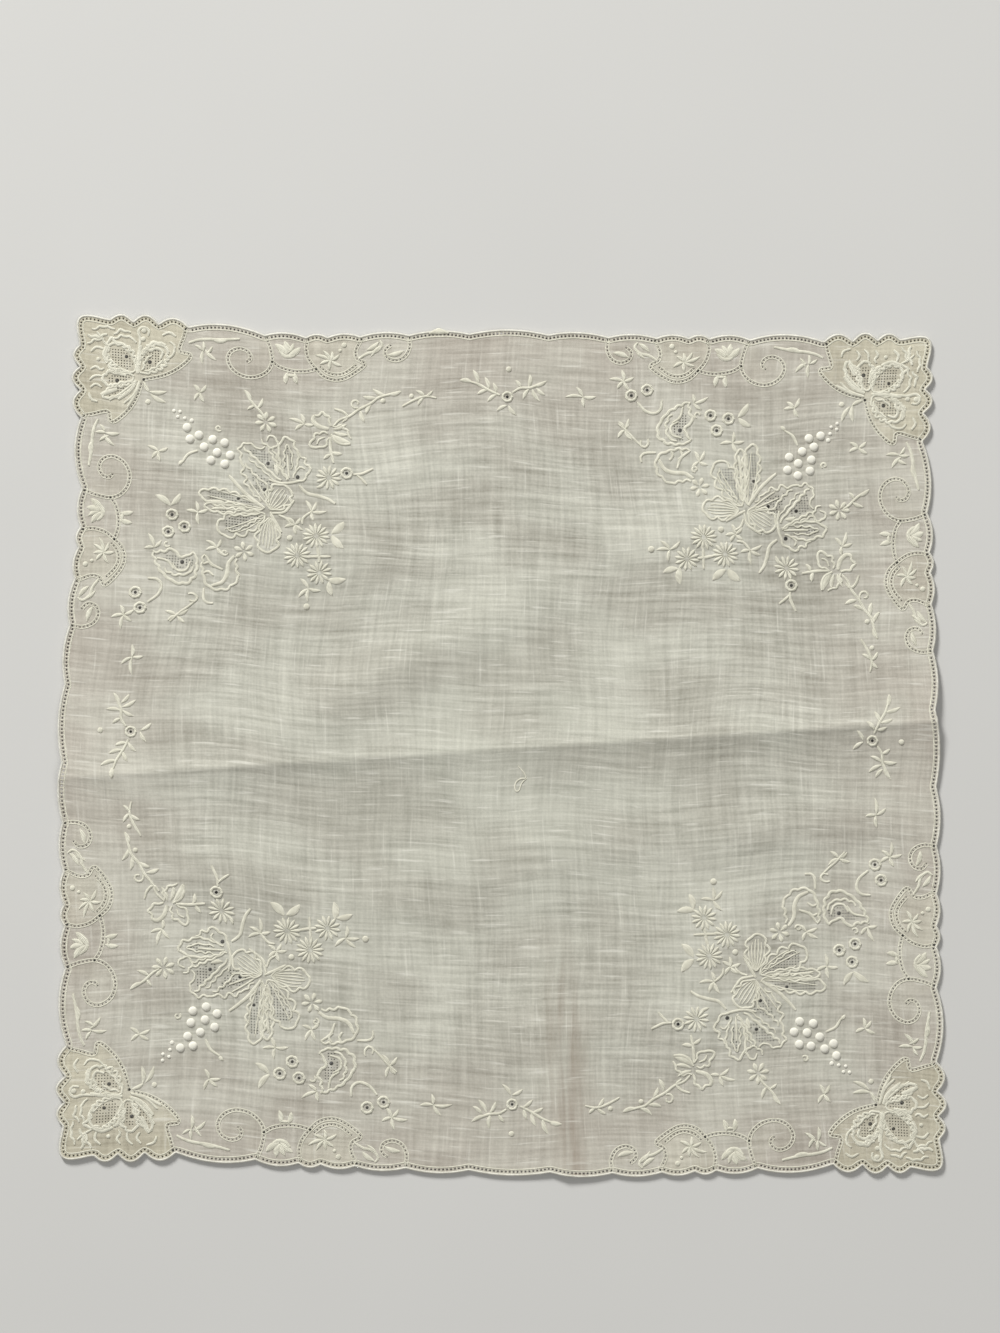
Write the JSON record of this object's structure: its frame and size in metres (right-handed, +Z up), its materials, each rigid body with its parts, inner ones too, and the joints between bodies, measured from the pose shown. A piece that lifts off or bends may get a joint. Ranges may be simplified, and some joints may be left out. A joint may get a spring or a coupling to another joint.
{
  "type": "handkerchief",
  "caption": "Square linen handkerchief with a scalloped, pin-stitched hem and padded whitework sprays, laid out flat with the soft folds of its quarter creases.",
  "frame": {"origin": "under the middle of the cloth's box, on the surface that it lies on", "axes": "+Z up from the surface, +X along the lower edge of the cloth as pictured, +Y towards its upper edge"},
  "size_m": [0.294, 0.2848, 0.0036],
  "materials": {
    "linen": "matt, sheer plain weave",
    "thread": "soft satin embroidery thread"
  },
  "bodies": {
    "root": {"cloth": "linen"}
  },
  "joints": []
}
